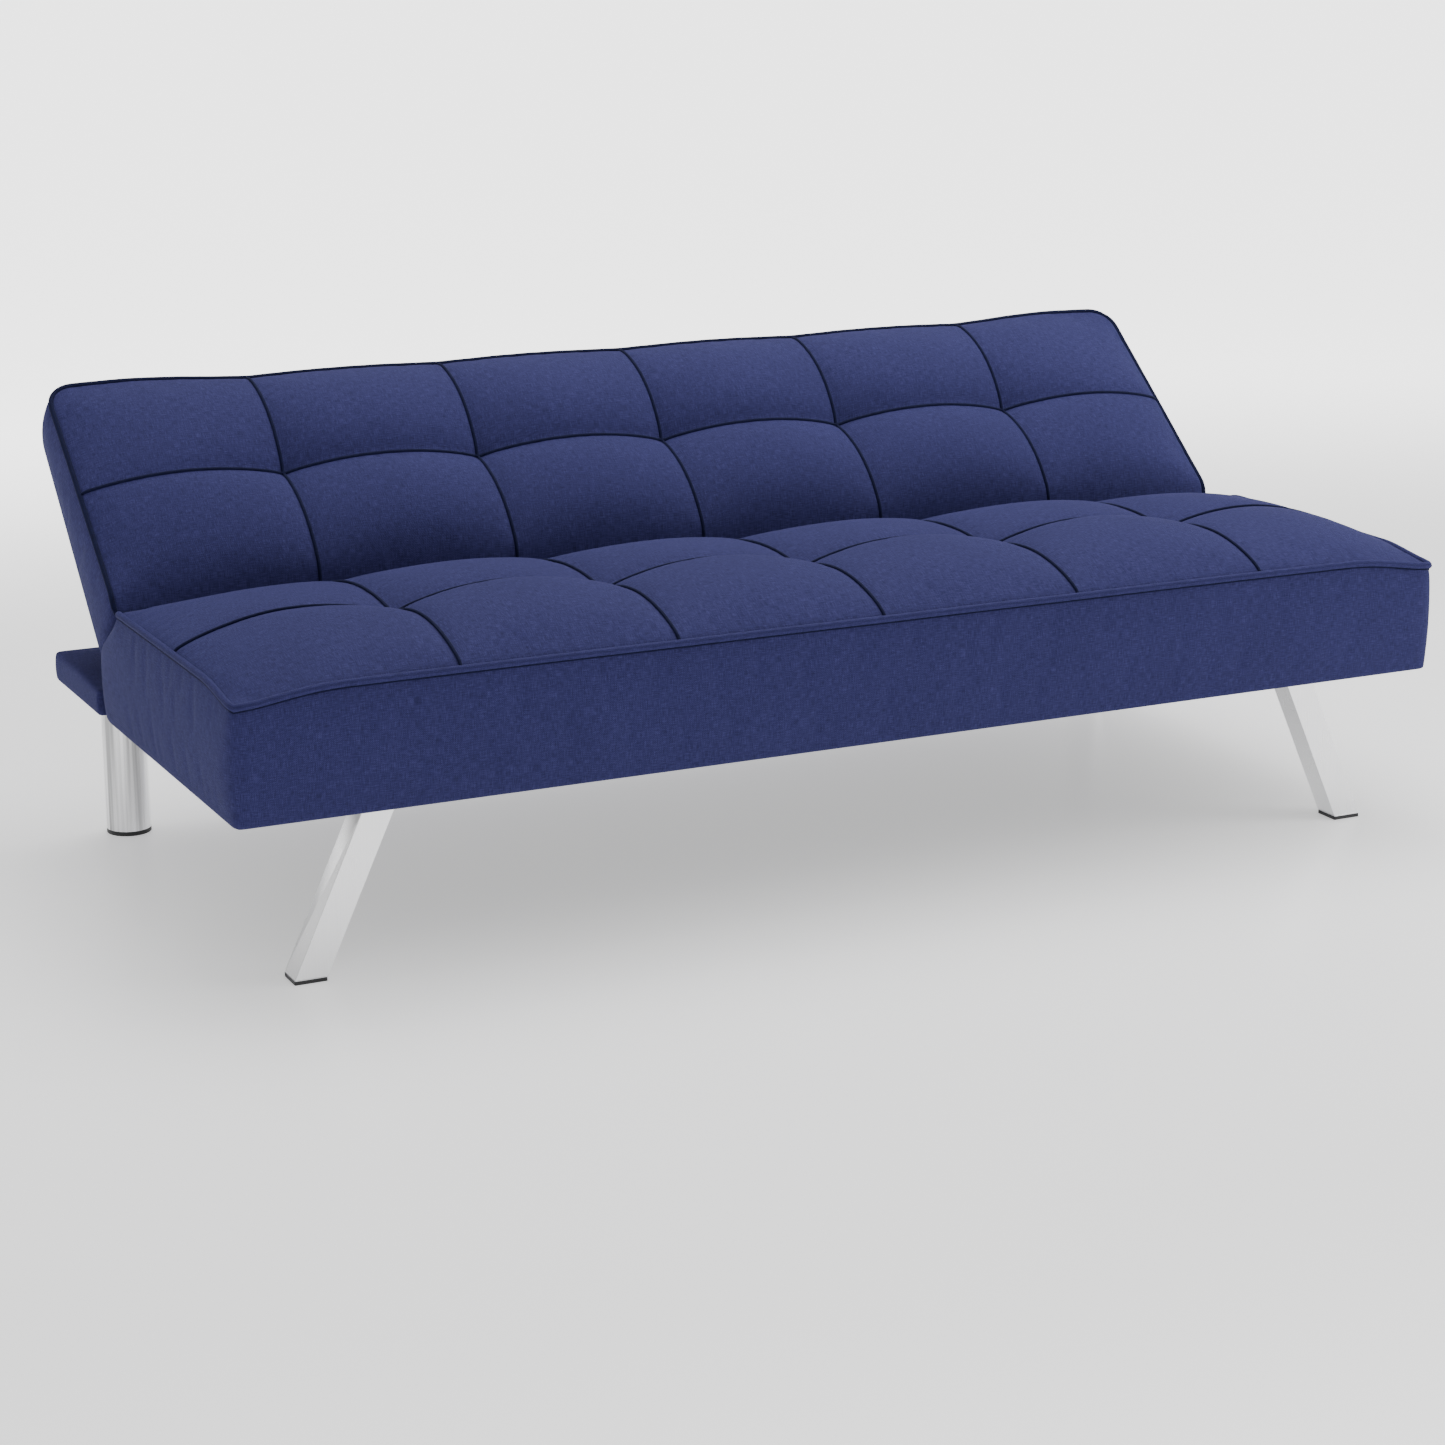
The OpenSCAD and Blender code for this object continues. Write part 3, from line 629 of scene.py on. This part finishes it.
class Tree:
    """A geometry node tree with named inputs."""

    def __init__(self, name, inputs):
        self.tree = bpy.data.node_groups.new(name, "GeometryNodeTree")
        face = self.tree.interface
        face.new_socket("Geometry", in_out="INPUT", socket_type="NodeSocketGeometry")
        self.ids = {}
        for label, (kind, value) in inputs.items():
            socket = face.new_socket(label, in_out="INPUT", socket_type=kind)
            if value is not None:
                socket.default_value = value
            self.ids[label] = socket.identifier
        face.new_socket("Geometry", in_out="OUTPUT", socket_type="NodeSocketGeometry")
        self.start = self.tree.nodes.new("NodeGroupInput")
        self.end = self.tree.nodes.new("NodeGroupOutput")

    def node(self, kind, settings=None, values=None):
        made = self.tree.nodes.new(kind)
        for key, value in (settings or {}).items():
            setattr(made, key, value)
        for key, value in (values or {}).items():
            if isinstance(value, bpy.types.NodeSocket):
                self.tree.links.new(value, made.inputs[key])
            else:
                made.inputs[key].default_value = value
        return made

    def given(self, label):
        return self.start.outputs[label]

    def measured(self, line, label):
        """A curve whose points keep how far along it they lie, and that distance."""
        run = self.node("GeometryNodeSplineParameter")
        kept = self.node("GeometryNodeCaptureAttribute", {"domain": "POINT"})
        kept.capture_items.new("FLOAT", label)
        self.tree.links.new(line.outputs[0], kept.inputs["Geometry"])
        self.tree.links.new(run.outputs["Length"], kept.inputs[label])
        return kept.outputs["Geometry"], kept.outputs[label]

    def close(self, geometry):
        """Ends the tree with real geometry in the given material."""
        real = self.node("GeometryNodeRealizeInstances", {}, {"Geometry": geometry})
        painted = self.node("GeometryNodeSetMaterial", {}, {
            "Geometry": real.outputs[0], "Material": self.given("Material")})
        self.tree.links.new(painted.outputs[0], self.end.inputs[0])

    def grow(self, name, base, **given):
        """Runs the tree on a mesh and gives its result as a plain object."""
        host = bpy.data.objects.new(name + "_host", base)
        bpy.context.scene.collection.objects.link(host)
        modifier = host.modifiers.new(name, "NODES")
        modifier.node_group = self.tree
        for label, value in given.items():
            modifier[self.ids[label.replace("_", " ")]] = value
        host.update_tag()
        plain = bpy.data.meshes.new_from_object(host.evaluated_get(bpy.context.evaluated_depsgraph_get()))
        bpy.data.objects.remove(host)
        bpy.data.meshes.remove(base)
        plain.name = name
        made = bpy.data.objects.new(name, plain)
        bpy.context.scene.collection.objects.link(made)
        return made


def piping_tree():
    """A round cord along the edges of a mesh, with a cloth map in metres."""
    tree = Tree("piping", {"Radius": ("NodeSocketFloat", 2 * MM), "Sides": ("NodeSocketInt", 10),
                           "Material": ("NodeSocketMaterial", None)})
    line = tree.node("GeometryNodeMeshToCurve", {}, {"Mesh": tree.given("Geometry")})
    route, run = tree.measured(line, "run")
    ring = tree.node("GeometryNodeCurvePrimitiveCircle", {}, {
        "Resolution": tree.given("Sides"), "Radius": tree.given("Radius")})
    section, turn = tree.measured(ring, "turn")
    tube = tree.node("GeometryNodeCurveToMesh", {}, {
        "Curve": route, "Profile Curve": section, "Fill Caps": True})
    place = tree.node("ShaderNodeCombineXYZ", {}, {"X": run, "Y": turn})
    mapped = tree.node("GeometryNodeStoreNamedAttribute", {"data_type": "FLOAT2", "domain": "CORNER"}, {
        "Geometry": tube.outputs[0], "Name": "cloth", "Value": place.outputs[0]})
    smooth_skin = tree.node("GeometryNodeSetShadeSmooth", {}, {"Geometry": mapped.outputs[0]})
    tree.close(smooth_skin.outputs[0])
    return tree


PIPING = piping_tree()


def lines_mesh(name, paths, closed=False):
    """Separate runs of points, joined end to end within each run."""
    points, edges = [], []
    for path in paths:
        first = len(points)
        points += [tuple(p) for p in path]
        edges += [(n, n + 1) for n in range(first, len(points) - 1)]
        if closed:
            edges.append((len(points) - 1, first))
    mesh = bpy.data.meshes.new(name)
    mesh.from_pydata(points, edges, [])
    return mesh


def piping(name, paths, radius, material, closed=False):
    """A sewn-in cord along each path."""
    return PIPING.grow(name, lines_mesh(name, paths, closed), Radius=radius, Material=material)


# ---------------------------------------------------------------- seat

SEAT_TOP_DEPTH = 474 * MM      # where the top rolls over to the rear
SEAT_LONG_SEAM = 228 * MM      # front edge to the seam between the two rows of pads
SEAT_HEM = 30 * MM             # cover turned under the frame
SEAT_LAYERS = round((WELT_Z - UNDER) / MESH_STEP)
CORNER_DIP = 14 * MM           # how far the cover pulls the welt down at the front corners
MID_RIM = WELT_Z + 13 * MM     # height of the rim away from the corners
seat_seams_x = [SEAT_HALF * 2 * k / COLUMNS - SEAT_HALF for k in range(COLUMNS + 1)]
seat_seams_y = [0.0, SEAT_LONG_SEAM, SEAT_TOP_DEPTH]
seat_quilt = Quilt(seat_seams_x, seat_seams_y, tuft=14 * MM, cross_rise=(28 * MM, 19 * MM),
                   long_rise=29 * MM, pad_rise=3 * MM)


def seat_rim_z(x, y):
    """Height of the welt: lowest at the corners, where the cover is pulled tight."""
    along = smooth((SEAT_HALF - np.abs(x)) / (230 * MM))
    back = smooth(y / (110 * MM)) * smooth((SEAT_TOP_DEPTH + 60 * MM - y) / (90 * MM))
    return WELT_Z - 1 * MM + CORNER_DIP * np.maximum(along, back * 0.8)


def seat_rim_blend(x, y):
    """Rim height carried over the whole top."""
    edge = np.minimum((SEAT_HALF - np.abs(x)) / (150 * MM), 1.0)
    return seat_rim_z(x, y) * (1 - smooth(edge)) + MID_RIM * smooth(edge)


def seat_points(cushion):
    """The seat before it is filled: quilted top, bellied bands, turned hem and rolled rear."""
    keys = cushion.keys
    x = cushion.xs[keys[:, 0]]
    y = cushion.ys[keys[:, 1]]
    t = keys[:, 2] / cushion.layers
    last_row = keys[:, 1] == len(cushion.ys) - 1
    end = (keys[:, 0] == 0) | (keys[:, 0] == len(cushion.xs) - 1)
    front = keys[:, 1] == 0

    top = seat_rim_blend(x, y) + seat_quilt.height(x, y)
    tall = top - UNDER
    z = UNDER + t * tall
    front_radius, rear_radius = 12 * MM, 20 * MM
    plan_x, plan_y = round_corner(x, y, SEAT_HALF, 0.0, SEAT_TOP_DEPTH, front_radius, rear_radius)

    # The bands belly out between the frame and the welt, which tucks them in again
    belly = np.sin(math.pi * t)
    tuck = 2 * MM * smooth((t - 0.9) / 0.1)
    swell_end = (2.5 * MM * belly - tuck) * end
    swell_front = (3 * MM * belly - tuck) * front
    plan_x = plan_x + np.sign(x) * swell_end
    plan_y = plan_y - swell_front

    # Inside the hem the underside is a little higher
    inside = np.minimum(SEAT_HALF - np.abs(x), np.minimum(y, SEAT_TOP_DEPTH - y)) > SEAT_HEM
    z = z + np.where((t == 0) & inside, 3 * MM, 0.0)

    # The rear falls in a round roll from the top's rear edge to the upright rear face. Between the
    # ends the roll is longer, so that the back's lower rail swings clear of it. Only the last part
    # of the ends and of the underside is drawn back with it, and the top stays.
    span_at_ends, span_extra = 0.45, 0.15
    drawn_from, drawn_over = 0.86, 0.14
    span = span_at_ends + span_extra * smooth((SEAT_HALF - 5 * MM - np.abs(x)) / (45 * MM))
    drawn = (SEAT_DEPTH - 4 * MM - SEAT_TOP_DEPTH) * smooth((1 - t) / span)
    share = smooth((plan_y - SEAT_TOP_DEPTH * drawn_from) / (SEAT_TOP_DEPTH * drawn_over))
    below_top = t < 1
    plan_y = plan_y + np.where(below_top | last_row, drawn * np.where(last_row, 1.0, share), 0.0)
    return np.stack([plan_x, plan_y + SEAT_FRONT, z], axis=1)


def rim_line(cushion, made):
    """The top edge from the rear round one end, along the front and round the other end."""
    spots = points_of(made)
    last = cushion.layers
    right, rows = len(cushion.xs) - 1, len(cushion.ys) - 1
    order = [(0, j) for j in range(rows, 0, -1)] + [(i, 0) for i in range(right + 1)]
    order += [(right, j) for j in range(1, rows + 1)]
    return [spots[cushion.index[i, j, last]] for i, j in order]


SEAM_CORD = 2.2 * MM           # radius of the thin dark cord in the seat's seams

seat_skin, seat_cushion = filled_cushion("seat_cushion", seat_seams_x, seat_seams_y, SEAT_LAYERS,
                                         seat_points, on_top=5 * MM, on_sides=4 * MM)
seat_seam_paths = seam_paths(seat_skin, seat_cushion, seat_seams_x, SEAT_LONG_SEAM)
seat_welt_path = rim_line(seat_skin, seat_cushion)
seat_seams = piping("seat_seam_piping", [lifted(p, (0, 0, 1.2 * MM)) for p in seat_seam_paths],
                    SEAM_CORD, dark_piping)
seat_welt = piping("seat_welt_cord", [lifted(seat_welt_path, (0, -2 * MM, 1.5 * MM))],
                   4.4 * MM, navy_linen)
# A thin dark cord just under the welt cord is a painted shadow line for the shade beneath the welt, not a
# seam
seat_welt_seam = piping("seat_welt_seam", [lifted(seat_welt_path, (0, -0.5 * MM, -3.6 * MM))],
                        SEAM_CORD, dark_piping)
for piece in (seat_cushion, seat_seams, seat_welt, seat_welt_seam):
    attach(piece, "seat")
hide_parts("seat_cover", "seat_foam")
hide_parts("seat_welt")

# ---------------------------------------------------------------- back

BACK_LONG_SEAM = 190 * MM      # lower edge to the seam between the two rows of pads
BACK_TOP = 371 * MM            # lower edge to the top edge
BACK_LAYERS = 10
back_seams_x = [BACK_HALF * 2 * k / COLUMNS - BACK_HALF for k in range(COLUMNS + 1)]
back_seams_s = [0.0, BACK_LONG_SEAM, BACK_TOP]
back_quilt = Quilt(back_seams_x, back_seams_s, tuft=4 * MM, cross_rise=(27 * MM, 27 * MM),
                   long_rise=28 * MM, pad_rise=5 * MM)
UP_BACK = Vector((0, math.sin(LEAN), math.cos(LEAN)))
OUT_OF_BACK = Vector((0, -math.cos(LEAN), math.sin(LEAN)))


def back_to_frame(x, s, n):
    """From along the back, up the back and out of its front plane to the frame."""
    rise = s + HINGE_REACH
    stand = n + HINGE_DROP
    y = PIVOT.y + rise * UP_BACK.y + stand * OUT_OF_BACK.y
    z = PIVOT.z + rise * UP_BACK.z + stand * OUT_OF_BACK.z
    return np.stack([x, y, z], axis=1)


def back_points(cushion):
    """The back before it is filled: thick at its foot, thin at its top, scalloped along it."""
    keys = cushion.keys
    x = cushion.xs[keys[:, 0]]
    s = cushion.ys[keys[:, 1]]
    t = keys[:, 2] / cushion.layers
    end = (keys[:, 0] == 0) | (keys[:, 0] == len(cushion.xs) - 1)
    top_row = keys[:, 1] == len(cushion.ys) - 1
    low_row = keys[:, 1] == 0

    # 110 mm thick at the foot, 70 mm near the top, and less where the top edge turns over
    thick = (110 - 40 * np.clip(s / BACK_TOP, 0, 1)) * MM
    thick = thick - 12 * MM * smooth((s - 0.88 * BACK_TOP) / (0.12 * BACK_TOP))
    front = back_quilt.height(x, s) - 12 * MM * smooth((28 * MM - s) / (28 * MM))
    n = front * t - thick * (1 - t)

    foot_radius, top_radius = 14 * MM, 38 * MM
    plan_x, plan_s = round_corner(x, s, BACK_HALF, 0.0, BACK_TOP, foot_radius, top_radius)

    # The top edge rises over each pad and towards the ends
    ends_up = 8 * MM * smooth((np.abs(x) - 540 * MM) / (200 * MM))
    pitch = 2 * BACK_HALF / COLUMNS
    scallop = 4 * MM * np.abs(np.sin(math.pi * (x + BACK_HALF) / pitch))
    reach = (ends_up + scallop) * smooth((s - BACK_LONG_SEAM) / (BACK_TOP - BACK_LONG_SEAM))
    plan_s = plan_s + reach

    # The bands belly out, and the top one slopes in to the thinner rear
    belly = np.sin(math.pi * t)
    tuck = 2.5 * MM * smooth((t - 0.9) / 0.1)
    plan_x = plan_x + np.sign(x) * (3 * MM * belly - tuck) * end
    plan_s = plan_s + (5 * MM * belly - tuck - 22 * MM * (1 - t) ** 1.5) * top_row
    plan_s = plan_s - (3 * MM * belly) * low_row
    return back_to_frame(plan_x, plan_s, n)


def back_rim(cushion, made):
    """All round the front edge of the back."""
    spots = points_of(made)
    last = cushion.layers
    right, top = len(cushion.xs) - 1, len(cushion.ys) - 1
    order = [(0, j) for j in range(top)] + [(i, top) for i in range(right)]
    order += [(right, j) for j in range(top, 0, -1)] + [(i, 0) for i in range(right, 0, -1)]
    return [spots[cushion.index[i, j, last]] for i, j in order]


back_skin, back_cushion = filled_cushion("back_cushion", back_seams_x, back_seams_s, BACK_LAYERS,
                                         back_points, on_top=7 * MM, on_sides=4 * MM)
back_seam_paths = seam_paths(back_skin, back_cushion, back_seams_x, BACK_LONG_SEAM)
back_rim_path = back_rim(back_skin, back_cushion)
back_seams = piping("back_seam_piping", [lifted(p, OUT_OF_BACK * (0.3 * MM)) for p in back_seam_paths],
                    2.4 * MM, dark_piping)
back_piping = piping("back_edge_piping", [lifted(back_rim_path, OUT_OF_BACK * MM)],
                     3.5 * MM, dark_piping, closed=True)
for piece in (back_cushion, back_seams, back_piping):
    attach(piece, "back")
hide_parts("back_cover", "back_foam")
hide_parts("back_welt")

# ---------------------------------------------------------------- platform

PLATFORM_STEP = 8 * MM
PLATFORM_LAYERS = 5
PLATFORM_LOFT = 5 * MM         # padding above the deck's plain solid, none where the back lies on it flat


def make_platform():
    """A thin padded deck with a soft edge, wrapped in the same cloth."""
    width = platform_high.x * 2
    depth = platform_high.y - platform_low.y
    xs = spread([-platform_high.x, platform_high.x], PLATFORM_STEP)
    ys = spread([platform_low.y, platform_high.y], PLATFORM_STEP)
    cushion = Cushion(xs, ys, PLATFORM_LAYERS)
    keys = cushion.keys
    x, y = cushion.xs[keys[:, 0]], cushion.ys[keys[:, 1]]
    t = keys[:, 2] / cushion.layers
    middle = (platform_low.y + platform_high.y) / 2
    x, off_middle = round_corner(x, y - middle, width / 2, -depth / 2, depth / 2, 0.0, 4 * MM)
    inset = np.minimum(width / 2 - np.abs(x), np.minimum(platform_high.y - y, y - platform_low.y))
    loft = PLATFORM_LOFT * smooth((y - platform_low.y) / (110 * MM))
    tall = platform_high.z + loft - platform_low.z
    z = platform_low.z + t * tall + 1.5 * MM * smooth(inset / (30 * MM)) * (t == 1)
    belly = 1.5 * MM + 1.5 * MM * np.sin(math.pi * t)
    end = (keys[:, 0] == 0) | (keys[:, 0] == len(cushion.xs) - 1)
    rear = keys[:, 1] == len(cushion.ys) - 1
    spots = np.stack([x + np.sign(x) * belly * end, off_middle + middle + belly * rear, z], axis=1)
    made = cushion.build("platform_upholstery", spots, navy_linen)
    finer(made)
    return made


platform = make_platform()
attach(platform, "seat")
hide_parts("platform_cover")

# ---------------------------------------------------------------- dust cloth under the seat

DUST_INSET = 13 * MM
DUST_THICK = 0.6 * MM
DUST_STEP = 22 * MM            # mesh squares of the dust cloth
STAPLE_SPACING = 55 * MM
STAPLE_SIZE = (10 * MM, 1.1 * MM, 1.0 * MM)


def staple_tree():
    """Staples set along the edges of a mesh, each lying along the edge."""
    tree = Tree("staples", {"Spacing": ("NodeSocketFloat", STAPLE_SPACING),
                            "Size": ("NodeSocketVector", STAPLE_SIZE),
                            "Material": ("NodeSocketMaterial", None)})
    line = tree.node("GeometryNodeMeshToCurve", {}, {"Mesh": tree.given("Geometry")})
    even = tree.node("GeometryNodeCurveToPoints", {"mode": "LENGTH"}, {
        "Curve": line.outputs[0], "Length": tree.given("Spacing")})
    turn = tree.node("FunctionNodeAlignEulerToVector", {"axis": "X", "pivot_axis": "Z"}, {
        "Vector": even.outputs["Tangent"]})
    wire = tree.node("GeometryNodeMeshCube", {}, {"Size": tree.given("Size")})
    set_in = tree.node("GeometryNodeInstanceOnPoints", {}, {
        "Points": even.outputs["Points"], "Instance": wire.outputs["Mesh"], "Rotation": turn.outputs[0]})
    tree.close(set_in.outputs[0])
    return tree


def dust_edge(inset):
    """Half width, front and rear of the dust cloth's outline, drawn in by an amount."""
    return SEAT_HALF - inset, SEAT_FRONT + inset, seat_high.y - 9 * MM - (inset - DUST_INSET)


def make_dust_cloth():
    """A thin cloth stapled under the seat, a little slack and rippled in its middle."""
    half, front, rear = dust_edge(DUST_INSET)
    cloth = Cushion(spread([-half, half], DUST_STEP), spread([front, rear], DUST_STEP), 1)
    x, y = cloth.xs[cloth.keys[:, 0]], cloth.ys[cloth.keys[:, 1]]
    slack = smooth((560 * MM - np.abs(x)) / (200 * MM)) * np.sin(math.pi * (y - front) / (rear - front))
    ripple = np.sin(x * 21 + 3 * np.sin(y * 9)) + 0.6 * np.sin(x * 47 + y * 13)
    z = UNDER - 1.2 * MM + cloth.keys[:, 2] * DUST_THICK - slack * (2.5 * MM + ripple * 1.1 * MM)
    made = cloth.build("dust_cloth_sheet", np.stack([x, y, z], axis=1), dust_cloth)
    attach(made, "seat")
    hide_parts("dust_cover")


def make_staples():
    """A line of staples round the dust cloth."""
    half, front, rear = dust_edge(DUST_INSET + 7 * MM)
    level = UNDER - 1.5 * MM
    loop = [(-half, front, level), (half, front, level), (half, rear, level), (-half, rear, level)]
    made = staple_tree().grow("dust_cloth_staples", lines_mesh("staple_line", [loop], closed=True),
                              Spacing=STAPLE_SPACING, Size=STAPLE_SIZE, Material=zinc_steel)
    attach(made, "seat")


make_dust_cloth()
make_staples()

# ---------------------------------------------------------------- finishes of the made parts


def finish_of(name):
    """The material of a part that is shown as it was made, told by its name."""
    if "foot" in name:
        return black_plastic
    if name.startswith("front_leg"):
        return satin_steel
    if name.startswith("rear_leg"):
        return bright_steel
    if name.startswith("seat_spring"):
        return spring_steel
    if "strap" in name:
        return elastic_webbing
    if name == "platform_panel":
        return hardboard
    if "end_rail" in name or "side_rail" in name or "centre_rail" in name:
        return deep_pine
    if "rail" in name or "stile" in name:
        return long_pine
    return zinc_steel


def ease_edges(node, radius):
    """Rounds a made part's outer edges by a little, as pressing and tumbling do."""
    weld = node.modifiers.new("weld", "WELD")
    weld.merge_threshold = 0.02 * MM
    ease = node.modifiers.new("ease", "BEVEL")
    ease.width = radius
    ease.segments = 3
    ease.limit_method = "ANGLE"
    ease.angle_limit = math.radians(40)


for name, node in frame["nodes"].items():
    node.data.materials.clear()
    node.data.materials.append(finish_of(name))

TUBE_EASE = 2.5 * MM
CAP_EASE = 1.2 * MM
for side in ("left", "right"):
    ease_edges(frame["nodes"]["front_leg_" + side], TUBE_EASE)
    ease_edges(frame["nodes"]["front_foot_" + side], CAP_EASE)
    ease_edges(frame["nodes"]["rear_foot_" + side], CAP_EASE)

# ---------------------------------------------------------------- floor, lights and camera


def make_floor():
    reach = 150.0
    corners = [(-reach, -reach, 0), (reach, -reach, 0), (reach, reach, 0), (-reach, reach, 0)]
    mesh = bpy.data.meshes.new("floor")
    mesh.from_pydata(corners, [], [(0, 1, 2, 3)])
    mesh.materials.append(floor_finish)
    floor = bpy.data.objects.new("floor", mesh)
    bpy.context.scene.collection.objects.link(floor)


def soft_light(name, place, target, width, height, power):
    """A flat light box that faces a target."""
    lamp = bpy.data.lights.new(name, "AREA")
    lamp.shape = "RECTANGLE"
    lamp.size, lamp.size_y = width, height
    lamp.energy = power
    made = bpy.data.objects.new(name, lamp)
    made.location = place
    made.rotation_euler = (Vector(target) - Vector(place)).to_track_quat("-Z", "Y").to_euler()
    bpy.context.scene.collection.objects.link(made)


def make_lights():
    """A sky that is bright above, dim at the sides and hazy along the floor's far edge, and three boxes."""
    world = bpy.data.worlds.new("studio")
    shop = Shop(world)
    across, _, height = shop.split(shop.node("ShaderNodeTexCoord", out=0))
    haze_reach = 0.05
    haze = (1 - height.size() / haze_reach).most(0.0)
    glow = height.most(0.0) * 1.1 + across * 0.08 + 0.08 + haze * 1.9
    light = shop.node("ShaderNodeBackground", {}, {"Color": colour(1, 1, 1), "Strength": glow})
    shop.node("ShaderNodeOutputWorld", {}, {"Surface": light})
    bpy.context.scene.world = world
    soft_light("overhead", (0.8, 0.8, 3.6), (0.2, 0, 0.3), width=3.8, height=2.4, power=145)
    soft_light("right_box", (2.3, -1.4, 1.6), (0.7, 0, 0.35), width=1.4, height=1.6, power=28)
    soft_light("left_box", (-2.8, 0.6, 1.3), (-0.8, 0, 0.3), width=1.4, height=1.4, power=2)


def make_camera():
    """The eye stands beyond the left end of the seat, a little over three metres in front of it."""
    look_down = math.radians(15.34)
    look_right = math.radians(26.28)
    lens = bpy.data.cameras.new("camera")
    lens.lens = 79.9
    lens.sensor_width = 36.0
    eye = bpy.data.objects.new("camera", lens)
    eye.location = (-1.8795, SEAT_FRONT - 3.350, 1.2871)
    eye.rotation_euler = (math.radians(90) - look_down, 0, -look_right)
    bpy.context.scene.collection.objects.link(eye)
    bpy.context.scene.camera = eye


make_floor()
make_lights()
make_camera()
